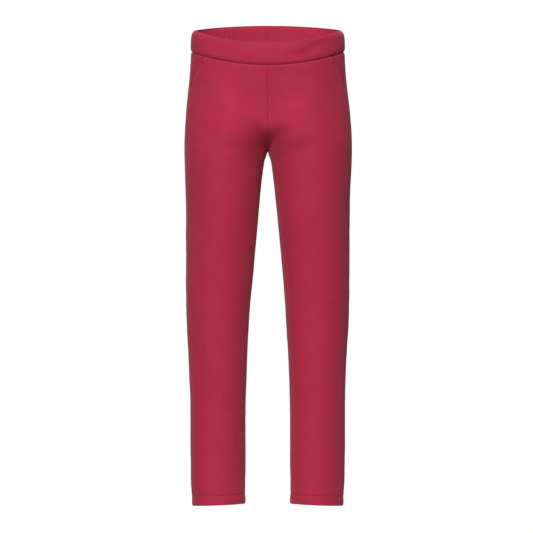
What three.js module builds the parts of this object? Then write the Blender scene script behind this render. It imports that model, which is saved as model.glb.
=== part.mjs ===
// Knit warm-up trousers: full length, straight leg, elastic waistband, two slanted side pockets.
//
// Frame: millimetres, +Z up, the wearer faces -Y and the wearer's left is +X. The origin is the
// centre of the waist opening, level with the band's top edge at the sides.
// Each half is a cloth tube that is open at x = 0 above the crotch and closed into a leg below it.
// A point on it is given by an angle round the tube (0 inseam, 90 front, 180 side seam, 270 back),
// a height and a depth inwards from the outer face.

import * as THREE from 'three';

// ---- Lengths down from the band's top edge at the sides ----
const OUTSEAM = 1077;
const RISE = 271;
const WAISTBAND_HEIGHT = 50;
const HIP_DROP = 200;
const DIP_END = 230;

// ---- Lengths down from the crotch, and up from the hem ----
const FORK_DROP = 32;
const THIGH_DROP = 134;
const KNEE_DROP = 339;
const SHIN_DROP = 543;
const ANKLE_RISE = 59;

// ---- Half widths from the centre line to the side seam ----
const WAIST_HALF_WIDTH = 174.5;
const HIP_HALF_WIDTH = 187;
const CROTCH_HALF_WIDTH = 190;

// ---- Widths of one leg, and half of the gap between the legs ----
const FORK_WIDTH = 180.5;
const FORK_GAP = 9;
const THIGH_WIDTH = 166;
const THIGH_GAP = 20;
const KNEE_WIDTH = 146.5;
const KNEE_GAP = 38.5;
const SHIN_WIDTH = 127;
const SHIN_GAP = 50;
const ANKLE_WIDTH = 124.5;
const ANKLE_GAP = 50.5;
const HEM_WIDTH = 121;
const HEM_GAP = 50.5;

// ---- Depths in front of and behind the side seams ----
const WAIST_FRONT = 110;
const WAIST_BACK = 120;
const HIP_FRONT = 112;
const HIP_BACK = 142;
const CROTCH_FRONT = 106;
const CROTCH_BACK = 132;
const FORK_FRONT = 104;
const FORK_BACK = 126;
const THIGH_FRONT = 98;
const THIGH_BACK = 110;
const KNEE_FRONT = 82;
const KNEE_BACK = 86;
const SHIN_FRONT = 74;
const SHIN_BACK = 82;
const HEM_FRONT = 71;
const HEM_BACK = 74;

// ---- Shape of the waist edge, crotch seam and side seams ----
const FRONT_DIP = 26;
const BACK_RISE = 9;
const CROTCH_CURVE = 4;
const SEAM_FORWARD = 22;
const SEAM_FORWARD_DROP = 60;

// ---- Cloth, clearances and trims ----
const CLOTH = 1.6;
const BAG_CLOTH = 0.8;
const ELASTIC_THICKNESS = 1.5;
const ELASTIC_MARGIN = 5;
const GAP = 0.3;
const LAYER_GAP = 0.9;
const HEM_ALLOWANCE = 25;
const STITCH_WIDTH = 1.2;
const STITCH_THICKNESS = 0.5;
const HEM_STITCH_INSET = 1;
const BAND_STITCH_DROP = 3;
const BARTACK_LENGTH = 9;
const BARTACK_WIDTH = 2.2;
const BARTACK_THICKNESS = 0.7;

// ---- Side pockets ----
const POCKET_TOP_HALF_WIDTH = 144;
const POCKET_DROP = 130;
const POCKET_STITCH_INSET = 4;
const FACING_BELOW_POCKET = 22;
const BAG_BELOW_POCKET = 127;
const BAG_INSET = 1.5;

// ---- Mesh steps ----
const PANEL_COLUMNS = 10;
const BAND_COLUMNS = 64;
const LEG_ROWS = 13;
const BAG_FIRST_COLUMN = 4;
const FACING_FIRST_COLUMN = 8;

// ---- Colours ----
const CLOTH_RED = 0xb5304c;
const THREAD_RED = 0x9a2a42;
const ELASTIC_WHITE = 0xdcd8d4;

const CROTCH_Z = -RISE;
const HEM_Z = -OUTSEAM;
const WAIST_SEAM_Z = -WAISTBAND_HEIGHT;
const POCKET_END_Z = -POCKET_DROP;
const FACING_END_Z = POCKET_END_Z - FACING_BELOW_POCKET;
const BAG_END_Z = POCKET_END_Z - BAG_BELOW_POCKET;

/** The sizes at one height: half width, half of the gap between the legs, and both depths. */
function station(z, half, gap, front, back) {
  return { z, half, gap, front, back };
}

/** A height in the leg, where the half width is the leg's own width plus half of the gap. */
function legStation(z, width, gap, front, back) {
  return station(z, width + gap, gap, front, back);
}

const CLOSED = GAP / 2;
const STATIONS = [
  station(0, WAIST_HALF_WIDTH, CLOSED, WAIST_FRONT, WAIST_BACK),
  station(WAIST_SEAM_Z, WAIST_HALF_WIDTH, CLOSED, WAIST_FRONT, WAIST_BACK),
  station(-HIP_DROP, HIP_HALF_WIDTH, CLOSED, HIP_FRONT, HIP_BACK),
  station(CROTCH_Z, CROTCH_HALF_WIDTH, CLOSED, CROTCH_FRONT, CROTCH_BACK),
  legStation(CROTCH_Z - FORK_DROP, FORK_WIDTH, FORK_GAP, FORK_FRONT, FORK_BACK),
  legStation(CROTCH_Z - THIGH_DROP, THIGH_WIDTH, THIGH_GAP, THIGH_FRONT, THIGH_BACK),
  legStation(CROTCH_Z - KNEE_DROP, KNEE_WIDTH, KNEE_GAP, KNEE_FRONT, KNEE_BACK),
  legStation(CROTCH_Z - SHIN_DROP, SHIN_WIDTH, SHIN_GAP, SHIN_FRONT, SHIN_BACK),
  legStation(HEM_Z + ANKLE_RISE, ANKLE_WIDTH, ANKLE_GAP, HEM_FRONT, HEM_BACK),
  legStation(HEM_Z, HEM_WIDTH, HEM_GAP, HEM_FRONT, HEM_BACK),
];

/** Slope of one size at a station, as a smooth curve through its neighbours has it. */
function slopeAt(index, key) {
  const before = STATIONS[Math.max(index - 1, 0)];
  const after = STATIONS[Math.min(index + 1, STATIONS.length - 1)];
  const here = STATIONS[index];
  const rise = (after[key] - here[key]) * (here[key] - before[key]);
  if (rise <= 0) return 0;
  return (after[key] - before[key]) / (after.z - before.z);
}

/** One size at a height, by a smooth curve through the stations that never overshoots them. */
function sizeAt(z, key) {
  let index = 0;
  while (index < STATIONS.length - 2 && z < STATIONS[index + 1].z) index += 1;
  const top = STATIONS[index];
  const bottom = STATIONS[index + 1];
  const span = bottom.z - top.z;
  const t = THREE.MathUtils.clamp((z - top.z) / span, 0, 1);
  const t2 = t * t;
  const t3 = t2 * t;
  return (2 * t3 - 3 * t2 + 1) * top[key]
    + (t3 - 2 * t2 + t) * span * slopeAt(index, key)
    + (3 * t2 - 2 * t3) * bottom[key]
    + (t3 - t2) * span * slopeAt(index + 1, key);
}

/** The tube of one half at a height: its centre, half width, front and back depths. */
function sectionAt(z) {
  const half = sizeAt(z, 'half');
  let inner = sizeAt(z, 'gap');
  if (z > CROTCH_Z) {
    const fall = THREE.MathUtils.clamp((WAIST_SEAM_Z - z) / (WAIST_SEAM_Z - CROTCH_Z), 0, 1);
    const split = fall ** CROTCH_CURVE;
    inner = CLOSED - half * (1 - split) / (1 + split);
  }
  return {
    centre: (half + inner) / 2,
    radius: (half - inner) / 2,
    front: sizeAt(z, 'front'),
    back: sizeAt(z, 'back'),
  };
}

/** Angle by which the side seam lies in front of the widest point: the back panel is wider. */
function forwardAngle(z) {
  return SEAM_FORWARD / sectionAt(z).front;
}

/** Angle of the side seam at a height. */
function sideSeamAngle(z) {
  return Math.PI - forwardAngle(z);
}

/** Angle of the inseam, which moves forward of the inmost point below the crotch. */
function inseamAngle(z) {
  return forwardAngle(z) * THREE.MathUtils.smoothstep(CROTCH_Z - z, 0, SEAM_FORWARD_DROP);
}

/** Half of the gap between two panels, as an angle at the inner or outer end of a section. */
function halfGapAngle(z) {
  return GAP / 2 / sectionAt(z).front;
}

/** Angle from the inmost point to the centre seam, or nothing below the crotch. */
function centreAngle(z) {
  const { centre, radius } = sectionAt(z);
  const cosine = (centre - GAP / 2) / radius;
  return cosine < 1 ? Math.acos(cosine) : 0;
}

/** Whether an angle round the tube is on its front. */
function facesFront(angle) {
  return Math.sin(angle) >= 0;
}

/** How far the waist edge's dip or rise moves a point at this angle and height. */
function waistShift(angle, z) {
  const lift = facesFront(angle) ? -FRONT_DIP : BACK_RISE;
  const fade = 1 - THREE.MathUtils.smoothstep(-z, WAISTBAND_HEIGHT, DIP_END);
  return lift * Math.sin(angle) ** 2 * fade;
}

/** A point on the outer face of the left half. */
function outerPoint(angle, z) {
  const { centre, radius, front, back } = sectionAt(z);
  const depth = facesFront(angle) ? front : back;
  return new THREE.Vector3(
    centre - radius * Math.cos(angle),
    -depth * Math.sin(angle),
    z + waistShift(angle, z),
  );
}

/** The direction out of the cloth at a point of the left half, level with the floor. */
function outward(angle, z) {
  const { radius, front, back } = sectionAt(z);
  const depth = facesFront(angle) ? front : back;
  return new THREE.Vector3(-Math.cos(angle) / radius, -Math.sin(angle) / depth, 0).normalize();
}

/** A point of the left half that lies this deep inside the outer face. */
function clothPoint(angle, z, depth) {
  return outerPoint(angle, z).addScaledVector(outward(angle, z), -depth);
}

/** Geometry of a closed solid, from its corners and the triangles between them. */
function solidFrom(corners, triangles, mirrored) {
  const side = mirrored ? -1 : 1;
  const coordinates = corners.flatMap((p) => [p.x * side, p.y, p.z]);
  const indices = triangles.flatMap(([a, b, c]) => (mirrored ? [a, c, b] : [a, b, c]));
  const geometry = new THREE.BufferGeometry();
  geometry.setAttribute('position', new THREE.Float32BufferAttribute(coordinates, 3));
  geometry.setIndex(indices);
  geometry.computeVertexNormals();
  return geometry;
}

/**
 * Closed solid between two grids of points: grid[row][column], rows downwards. Each square is
 * split along its shorter diagonal, which keeps a curved face closest to its true shape.
 */
function solidBetween(outer, inner, mirrored) {
  const rows = outer.length;
  const columns = outer[0].length;
  const triangles = [];
  const out = (row, column) => row * columns + column;
  const into = (row, column) => rows * columns + out(row, column);
  const quad = (a, b, c, d) => triangles.push([a, b, c], [a, c, d]);
  for (let c = 0; c < columns - 1; c += 1) {
    for (let r = 0; r < rows - 1; r += 1) {
      const falling = outer[r][c].distanceTo(outer[r + 1][c + 1]);
      const rising = outer[r + 1][c].distanceTo(outer[r][c + 1]);
      if (falling <= rising) {
        quad(out(r, c), out(r + 1, c), out(r + 1, c + 1), out(r, c + 1));
        quad(into(r, c), into(r, c + 1), into(r + 1, c + 1), into(r + 1, c));
      } else {
        quad(out(r + 1, c), out(r + 1, c + 1), out(r, c + 1), out(r, c));
        quad(into(r + 1, c), into(r, c), into(r, c + 1), into(r + 1, c + 1));
      }
    }
    quad(out(0, c), out(0, c + 1), into(0, c + 1), into(0, c));
    quad(out(rows - 1, c), into(rows - 1, c), into(rows - 1, c + 1), out(rows - 1, c + 1));
  }
  for (let r = 0; r < rows - 1; r += 1) {
    const last = columns - 1;
    quad(out(r, 0), into(r, 0), into(r + 1, 0), out(r + 1, 0));
    quad(out(r, last), out(r + 1, last), into(r + 1, last), into(r, last));
  }
  return solidFrom([...outer.flat(), ...inner.flat()], triangles, mirrored);
}

/** Closed ring through sections that all have the same outline, down outside and up inside. */
function ringThrough(sections, mirrored = false) {
  const size = sections[0].length;
  const triangles = [];
  sections.forEach((_, c) => {
    const here = c * size;
    const next = ((c + 1) % sections.length) * size;
    for (let k = 0; k < size; k += 1) {
      const l = (k + 1) % size;
      triangles.push([here + k, here + l, next + l], [here + k, next + l, next + k]);
    }
  });
  return solidFrom(sections.flat(), triangles, mirrored);
}

/** Evenly spaced values from one number to another, both included. */
function spread(from, to, steps) {
  return Array.from({ length: steps + 1 }, (_, i) => from + ((to - from) * i) / steps);
}

/** Heights in order from the top, each once. */
function downwards(heights) {
  return [...new Set(heights)].sort((a, b) => b - a);
}

/** Closed patch of cloth between two depths, over the heights and angles given. */
function clothPatch(heights, anglesAt, shallow, deep, mirrored) {
  const grid = (depthAt) => heights.map(
    (z, row) => anglesAt(z, row).map((angle) => clothPoint(angle, z, depthAt(row))),
  );
  return solidBetween(grid(shallow), grid(deep), mirrored);
}

const group = new THREE.Group();

/** Adds one named piece with a matte cloth material of its own. */
function addPiece(name, geometry, colour, roughness = 0.85) {
  const material = new THREE.MeshStandardMaterial({ color: colour, roughness, metalness: 0 });
  const mesh = new THREE.Mesh(geometry, material);
  mesh.name = name;
  group.add(mesh);
  return mesh;
}

// ---- Heights of the panel rows ----
const PANEL_TOP_Z = WAIST_SEAM_Z - GAP;
const HEM_FOLD_Z = HEM_Z + HEM_ALLOWANCE;
const HEM_STITCH_Z = HEM_FOLD_Z - HEM_STITCH_INSET;
const POCKET_HEIGHTS = spread(PANEL_TOP_Z, POCKET_END_Z, 4);
const HIP_HEIGHTS = spread(FACING_END_Z, CROTCH_Z + 46, 2);
const CROTCH_HEIGHTS = [34, 23, 6, 0, -9, -FORK_DROP].map((rise) => CROTCH_Z + rise);
const LEG_HEIGHTS = spread(CROTCH_Z - FORK_DROP, HEM_FOLD_Z + GAP, LEG_ROWS);
const PANEL_HEIGHTS = downwards([
  ...POCKET_HEIGHTS, ...HIP_HEIGHTS, BAG_END_Z, ...CROTCH_HEIGHTS, ...LEG_HEIGHTS,
  HEM_FOLD_Z, HEM_STITCH_Z, HEM_Z,
]);

/** Depth of a panel's inner face: the hem is turned up, so it is two cloths thick there. */
function panelDepth(row) {
  return PANEL_HEIGHTS[row] <= HEM_FOLD_Z ? CLOTH * 2 : CLOTH;
}

/** Angle of the slanted pocket edge at a height, which meets the side seam at its lower end. */
function pocketEdgeAngle(z) {
  const fall = THREE.MathUtils.clamp((PANEL_TOP_Z - z) / (PANEL_TOP_Z - POCKET_END_Z), 0, 1);
  const topAngle = Math.PI - Math.acos(POCKET_TOP_HALF_WIDTH / WAIST_HALF_WIDTH);
  return THREE.MathUtils.lerp(topAngle, sideSeamAngle(z) - halfGapAngle(z), fall);
}

/** Small angle that spans a length of cloth on the front, next to the side seam. */
function sideAngle(length) {
  return length / ((WAIST_FRONT + WAIST_HALF_WIDTH) / 2);
}

/** Angles of the front panel's columns at a height, from the centre to the pocket or side. */
function frontAngles(z) {
  const start = Math.max(centreAngle(z), inseamAngle(z) + halfGapAngle(z));
  return spread(start, pocketEdgeAngle(z), PANEL_COLUMNS);
}

/** Angles of the back panel's columns at a height, from the side seam to the centre. */
function backAngles(z) {
  const start = sideSeamAngle(z) + halfGapAngle(z);
  const end = inseamAngle(z) - Math.max(centreAngle(z), halfGapAngle(z));
  return spread(start, 2 * Math.PI + end, PANEL_COLUMNS);
}

function addPanels(side, mirrored) {
  const outerFace = () => 0;
  const front = clothPatch(PANEL_HEIGHTS, frontAngles, outerFace, panelDepth, mirrored);
  const back = clothPatch(PANEL_HEIGHTS, backAngles, outerFace, panelDepth, mirrored);
  addPiece(`front_panel_${side}`, front, CLOTH_RED);
  addPiece(`back_panel_${side}`, back, CLOTH_RED);
}

// ---- Pocket layers, from the front panel inwards: front bag, then facing and back bag ----
const FRONT_BAG_DEPTH = CLOTH + LAYER_GAP;
const BACK_BAG_DEPTH = FRONT_BAG_DEPTH + BAG_CLOTH + LAYER_GAP;

/** Pocket layers follow the front panel's columns, so they lie flat against it. */
function addPocket(side, mirrored) {
  const bagHeights = PANEL_HEIGHTS.filter((z) => z >= BAG_END_Z);
  const facingHeights = PANEL_HEIGHTS.filter((z) => z >= FACING_END_Z);
  const frontBagAngles = (z) => {
    const columns = frontAngles(z);
    return [...columns.slice(BAG_FIRST_COLUMN, -1), columns.at(-1) - sideAngle(BAG_INSET)];
  };
  const backBagAngles = (z) => {
    const columns = frontAngles(z);
    const last = columns[FACING_FIRST_COLUMN] - sideAngle(LAYER_GAP);
    return [...columns.slice(BAG_FIRST_COLUMN, FACING_FIRST_COLUMN), last];
  };
  const facingAngles = (z) => {
    const columns = frontAngles(z);
    const seam = sideSeamAngle(z) - halfGapAngle(z);
    return [columns[FACING_FIRST_COLUMN], ...spread(columns[FACING_FIRST_COLUMN + 1], seam, 3)];
  };
  const layer = (heights, angles, depth, thickness) => clothPatch(
    heights,
    angles,
    () => depth,
    () => depth + thickness,
    mirrored,
  );
  const frontBag = layer(bagHeights, frontBagAngles, FRONT_BAG_DEPTH, BAG_CLOTH);
  const backBag = layer(bagHeights, backBagAngles, BACK_BAG_DEPTH, BAG_CLOTH);
  const facing = layer(facingHeights, facingAngles, BACK_BAG_DEPTH, CLOTH);
  addPiece(`pocket_facing_${side}`, facing, CLOTH_RED);
  addPiece(`pocket_bag_front_${side}`, frontBag, CLOTH_RED);
  addPiece(`pocket_bag_back_${side}`, backBag, CLOTH_RED);
}

/** Thin line of stitching that lies on the cloth along the pocket edge. */
function addPocketStitching(side, mirrored) {
  const inset = sideAngle(POCKET_STITCH_INSET);
  const width = sideAngle(STITCH_WIDTH);
  const heights = POCKET_HEIGHTS.slice(1, -1);
  const angles = (z) => {
    const edge = pocketEdgeAngle(z) - inset;
    return [edge - width, edge];
  };
  const top = () => -GAP * 2 - STITCH_THICKNESS;
  const under = () => -GAP * 2;
  const geometry = clothPatch(heights, angles, top, under, mirrored);
  addPiece(`pocket_stitching_${side}`, geometry, THREAD_RED, 0.7);
}

/** Small dense bar of thread that lies across an end of the pocket edge. */
function addBartack(name, z, mirrored) {
  const angle = pocketEdgeAngle(z) - sideAngle(BARTACK_LENGTH * 0.75);
  const standOff = -(GAP * 2 + BARTACK_THICKNESS / 2 + 0.3);
  const place = clothPoint(angle, z, standOff);
  const facing = outward(angle, z);
  const geometry = new THREE.BoxGeometry(BARTACK_LENGTH, BARTACK_THICKNESS, BARTACK_WIDTH);
  const turn = Math.atan2(facing.x, -facing.y);
  const mirror = mirrored ? -1 : 1;
  const piece = addPiece(name, geometry, THREAD_RED, 0.7);
  piece.position.set(place.x * mirror, place.y, place.z);
  piece.rotation.z = turn * mirror;
}

/** Outline of a ring's section, as [height, depth] corners down outside and up inside. */
function sectionOutline(top, bottom, shallow, deep) {
  return [[top, shallow], [bottom, shallow], [bottom, deep], [top, deep]];
}

/** Ring of stitching round one leg, on the outside of the hem. */
function addHemStitching(side, mirrored) {
  const angles = [...frontAngles(HEM_STITCH_Z), ...backAngles(HEM_STITCH_Z)];
  const outline = sectionOutline(
    HEM_STITCH_Z + STITCH_WIDTH / 2,
    HEM_STITCH_Z - STITCH_WIDTH / 2,
    -GAP * 2 - STITCH_THICKNESS,
    -GAP * 2,
  );
  const sections = angles.map(
    (angle) => outline.map(([z, depth]) => clothPoint(angle, z, depth)),
  );
  addPiece(`hem_stitching_${side}`, ringThrough(sections, mirrored), THREAD_RED, 0.7);
}

/** A point of the waist, by the turn from the front centre towards the wearer's left. */
function waistPoint(turn, z, depth) {
  const left = turn <= Math.PI;
  const point = clothPoint(Math.PI / 2 + (left ? turn : 2 * Math.PI - turn), z, depth);
  if (!left) point.x = -point.x;
  return point;
}

/** Closed ring round the whole waist with the section outline given. */
function waistRing(outline) {
  const turns = spread(0, 2 * Math.PI, BAND_COLUMNS).slice(0, -1);
  return ringThrough(
    turns.map((turn) => outline.map(([z, depth]) => waistPoint(turn, z, depth))),
  );
}

// ---- Waistband: outer cloth folded over the top, elastic inside, facing behind it ----
const ELASTIC_DEPTH = CLOTH + GAP;
const FACING_DEPTH = ELASTIC_DEPTH + ELASTIC_THICKNESS + GAP;
const BAND_DEPTH = FACING_DEPTH + CLOTH;

function addWaistband() {
  const band = waistRing([
    [0, 0], [WAIST_SEAM_Z, 0], [WAIST_SEAM_Z, CLOTH],
    [-CLOTH, CLOTH], [-CLOTH, BAND_DEPTH], [0, BAND_DEPTH],
  ]);
  const elastic = waistRing(sectionOutline(
    -ELASTIC_MARGIN,
    WAIST_SEAM_Z + ELASTIC_MARGIN,
    ELASTIC_DEPTH,
    ELASTIC_DEPTH + ELASTIC_THICKNESS,
  ));
  const facing = waistRing(
    sectionOutline(-CLOTH - GAP, WAIST_SEAM_Z, FACING_DEPTH, BAND_DEPTH),
  );
  const stitching = waistRing(sectionOutline(
    -BAND_STITCH_DROP + STITCH_WIDTH / 2,
    -BAND_STITCH_DROP - STITCH_WIDTH / 2,
    -GAP - STITCH_THICKNESS,
    -GAP,
  ));
  addPiece('waistband', band, CLOTH_RED);
  addPiece('waist_elastic', elastic, ELASTIC_WHITE, 0.9);
  addPiece('waistband_facing', facing, CLOTH_RED);
  addPiece('waistband_stitching', stitching, THREAD_RED, 0.7);
}

addWaistband();
for (const [side, mirrored] of [['left', false], ['right', true]]) {
  addPanels(side, mirrored);
  addPocket(side, mirrored);
  addPocketStitching(side, mirrored);
  addBartack(`pocket_bartack_upper_${side}`, PANEL_TOP_Z - 12, mirrored);
  addBartack(`pocket_bartack_lower_${side}`, POCKET_END_Z + 8, mirrored);
  addHemStitching(side, mirrored);
}

export default group;
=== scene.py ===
"""Knit warm-up trousers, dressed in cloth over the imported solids.

The wearer faces -Y, the wearer's left is +X and the origin is the centre of the waist opening.
Every length is in metres. Each half of the garment is a cloth tube: a point on it is given by
an angle round the tube (0 inseam, 90 front, 180 side, 270 back), a height, and a lift out of it.
"""

import logging
import math
from collections.abc import Callable
from dataclasses import dataclass, field
from enum import Enum

import bpy
import numpy as np
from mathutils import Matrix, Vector


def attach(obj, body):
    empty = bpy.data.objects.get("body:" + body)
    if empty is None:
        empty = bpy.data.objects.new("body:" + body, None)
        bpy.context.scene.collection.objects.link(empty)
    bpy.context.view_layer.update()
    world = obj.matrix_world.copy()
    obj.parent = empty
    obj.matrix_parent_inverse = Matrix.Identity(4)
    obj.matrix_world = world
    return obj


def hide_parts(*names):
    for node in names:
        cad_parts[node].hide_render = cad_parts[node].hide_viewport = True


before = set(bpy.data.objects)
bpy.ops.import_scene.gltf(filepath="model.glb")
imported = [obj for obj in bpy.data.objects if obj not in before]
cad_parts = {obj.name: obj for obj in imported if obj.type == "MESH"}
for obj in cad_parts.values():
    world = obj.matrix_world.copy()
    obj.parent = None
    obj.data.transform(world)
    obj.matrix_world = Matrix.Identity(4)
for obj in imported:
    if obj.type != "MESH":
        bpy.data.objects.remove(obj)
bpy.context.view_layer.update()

LOG = logging.getLogger("warm_up_trousers")
MM = 0.001
Array = np.ndarray
Piece = bpy.types.Object
Socket = bpy.types.NodeSocket
Pair = tuple[float, float]
Triple = tuple[float, float, float]


class Side(Enum):
    """The wearer's sides, as the sign of X."""

    LEFT = 1
    RIGHT = -1

    @property
    def label(self) -> str:
        """The side's name as the solids use it."""
        return self.name.lower()


class Hold(Enum):
    """Ways in which a sheet of cloth is held."""

    HUNG = "hung"
    STRETCHED = "stretched"
    GATHERED = "gathered"


# ---- small mathematics


def smoothstep(value: Array, start: float, end: float) -> Array:
    """Rises smoothly from 0 at start to 1 at end."""
    t = np.clip((value - start) / (end - start), 0.0, 1.0)
    return t * t * (3.0 - 2.0 * t)


def bump(value: Array, middle: float, width: float) -> Array:
    """A bell of height 1 and the given half width, round a middle value."""
    return np.exp(-(((value - middle) / width) ** 2))


def blend(first: Array, second: Array, share: Array) -> Array:
    """Mixes two arrays by the share of the second."""
    return first * (1.0 - share) + second * share


def lattice_noise(x: Array, y: Array, seed: float) -> Array:
    """Smooth noise between -1 and 1 on a lattice of unit squares, always the same for a seed.

    Args:
        x: First coordinate.
        y: Second coordinate.
        seed: Number that picks the pattern.

    Returns:
        The noise at each point.
    """
    cell_x, cell_y = np.floor(x), np.floor(y)
    share_x = smoothstep(x - cell_x, 0.0, 1.0)
    share_y = smoothstep(y - cell_y, 0.0, 1.0)

    def corner(dx: int, dy: int) -> Array:
        """Fixed pseudo-random value of one lattice corner."""
        wave = np.sin((cell_x + dx) * 12.9898 + (cell_y + dy) * 78.233 + seed * 37.719)
        scaled = wave * 43758.5453
        return (scaled - np.floor(scaled)) * 2.0 - 1.0

    low = blend(corner(0, 0), corner(1, 0), share_x)
    return blend(low, blend(corner(0, 1), corner(1, 1), share_x), share_y)


@dataclass(frozen=True)
class Ramp:
    """A smooth change by an amount between two places."""

    amount: float
    start: float
    end: float

    def at(self, value: Array) -> Array:
        """The change at each place."""
        return self.amount * smoothstep(value, self.start, self.end)


# ---- the cut of the garment


@dataclass(frozen=True)
class Station:
    """The garment's sizes at one height."""

    height: float
    half: float
    gap: float
    front: float
    back: float


@dataclass(frozen=True)
class Fold:
    """One soft fold or hollow in the cloth of the front or the back."""

    x: float
    z: float
    length: float
    width: float
    tilt: float
    height: float
    front: bool = True

    def rise(self, x: Array, z: Array) -> Array:
        """Height of the fold at each point."""
        dx, dz = x - self.x, z - self.z
        along = dx * math.cos(self.tilt) + dz * math.sin(self.tilt)
        across = dz * math.cos(self.tilt) - dx * math.sin(self.tilt)
        return self.height * (bump(along, 0.0, self.length) * bump(across, 0.0, self.width))

    def sink(self, x: Array, z: Array) -> Array:
        """Depth of the hollow at each point, slanted without being turned."""
        level = bump(z - self.tilt * x, self.z, self.width)
        return bump(x, self.x, self.length) * level * self.height


@dataclass(frozen=True)
class TrouserCut:
    """Shape of the whole garment, from which every piece of cloth is laid out."""

    outseam: float = 1.077
    rise: float = 0.271
    band_height: float = 0.050
    seam_gap: float = -0.00002
    front_dip: float = 0.026
    back_rise: float = 0.009
    dip_end: float = 0.230
    crotch_curve: float = 4.0
    seam_forward: float = 0.022
    seam_forward_drop: float = 0.060
    pocket_top: float = 0.144
    pocket_drop: float = 0.130
    notch_depth: float = 0.0006
    notch_reach: float = 0.012
    valley: float = 0.011
    valley_reach: float = 0.09
    valley_start: Pair = (0.06, 0.16)
    valley_end: Pair = (0.046, 0.004)
    hem_reach: Pair = (0.110, 0.020)
    hem_lift: float = 0.0026
    hem_slant: float = 0.0024
    hollows: tuple[Fold, ...] = (
        Fold(0.0, -0.251, 0.036, 0.021, 0.50, 0.0160),
        Fold(0.0, -0.266, 0.018, 0.020, 0.0, 0.0180),
    )
    stations: tuple[Station, ...] = (
        Station(0.0, 0.1745, 0.00015, 0.110, 0.120),
        Station(-0.050, 0.1745, 0.00015, 0.110, 0.120),
        Station(-0.200, 0.187, 0.00015, 0.112, 0.142),
        Station(-0.271, 0.190, 0.00015, 0.106, 0.132),
        Station(-0.303, 0.1895, 0.009, 0.104, 0.126),
        Station(-0.405, 0.186, 0.020, 0.098, 0.110),
        Station(-0.610, 0.185, 0.0385, 0.082, 0.086),
        Station(-0.814, 0.177, 0.050, 0.074, 0.082),
        Station(-1.018, 0.175, 0.0505, 0.071, 0.074),
        Station(-1.077, 0.1715, 0.0505, 0.071, 0.074),
    )

    @property
    def crotch(self) -> float:
        """Height of the crotch point."""
        return -self.rise

    @property
    def hem(self) -> float:
        """Height of the hem's lower edge."""
        return -self.outseam

    @property
    def waist_half(self) -> float:
        """Half of the waist's width."""
        return self.stations[0].half

    @property
    def waist_seam(self) -> float:
        """Height of the waistband seam at the sides."""
        return -self.band_height

    def size(self, z: Array, key: str) -> Array:
        """One size at each height, by a smooth curve through the stations.

        Args:
            z: Heights.
            key: Name of the size in a station.

        Returns:
            The size at each height.
        """
        heights = np.array([s.height for s in self.stations])
        values = np.array([getattr(s, key) for s in self.stations])
        before = np.r_[values[0], values[:-1]]
        after = np.r_[values[1:], values[-1]]
        low = np.r_[heights[0], heights[:-1]]
        high = np.r_[heights[1:], heights[-1]]
        slopes = np.where(
            (after - values) * (values - before) > 0, (after - before) / (high - low), 0.0
        )
        index = np.clip(np.searchsorted(-heights, -z, side="right") - 1, 0, len(heights) - 2)
        span = heights[index + 1] - heights[index]
        t = np.clip((z - heights[index]) / span, 0.0, 1.0)
        return (
            (2 * t**3 - 3 * t**2 + 1) * values[index]
            + (t**3 - 2 * t**2 + t) * span * slopes[index]
            + (3 * t**2 - 2 * t**3) * values[index + 1]
            + (t**3 - t**2) * span * slopes[index + 1]
        )

    def section(self, z: Array) -> tuple[Array, Array, Array, Array]:
        """Centre, half width and the two depths of one half's tube at each height."""
        half = self.size(z, "half")
        fall = np.clip((self.waist_seam - z) / (self.waist_seam - self.crotch), 0.0, 1.0)
        split = fall**self.crotch_curve
        joined = self.seam_gap / 2 - half * (1 - split) / (1 + split)
        below = np.maximum(self.crotch - z, 0.0) / self.notch_reach
        notch = self.notch_depth * below * np.exp(1.0 - below)
        inner = np.where(z > self.crotch, joined, self.size(z, "gap") + notch)
        return (half + inner) / 2, (half - inner) / 2, self.size(z, "front"), self.size(z, "back")

    def forward(self, z: Array) -> Array:
        """Angle by which the side seam lies in front of the widest point."""
        return self.seam_forward / self.size(z, "front")

    def side_seam(self, z: Array) -> Array:
        """Angle of the side seam at each height."""
        return math.pi - self.forward(z)

    def inseam(self, z: Array) -> Array:
        """Angle of the inseam at each height."""
        return self.forward(z) * smoothstep(self.crotch - z, 0.0, self.seam_forward_drop)

    def half_gap(self, z: Array) -> Array:
        """Half of the gap between two panels, as an angle."""
        return self.seam_gap / 2 / self.size(z, "front")

    def centre(self, z: Array) -> Array:
        """Angle from the inmost point to the centre seam, nothing below the crotch."""
        middle, radius, _, _ = self.section(z)
        return np.arccos(np.clip((middle - self.seam_gap / 2) / radius, -1.0, 1.0))

    def front_start(self, z: Array) -> Array:
        """Angle of the front panel's inner edge."""
        return np.maximum(self.centre(z), self.inseam(z) + self.half_gap(z))

    def back_end(self, z: Array) -> Array:
        """Angle of the back panel's inner edge."""
        inner = np.maximum(self.centre(z), self.half_gap(z))
        return 2 * math.pi + self.inseam(z) - inner

    def pocket_edge(self, z: Array) -> Array:
        """Angle of the front panel's outer edge: the slanted pocket edge, then the side seam."""
        top = self.waist_seam - self.seam_gap
        fall = np.clip((top - z) / (top + self.pocket_drop), 0.0, 1.0)
        start = math.pi - math.acos(self.pocket_top / self.waist_half)
        return start + (self.side_seam(z) - self.half_gap(z) - start) * fall

    def reach(self, angle: Array, z: Array) -> Array:
        """Length of cloth per radian round the tube."""
        _, radius, front, back = self.section(z)
        depth = np.where(np.sin(angle) >= 0, front, back)
        return np.sqrt((radius * np.sin(angle)) ** 2 + (depth * np.cos(angle)) ** 2)

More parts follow.
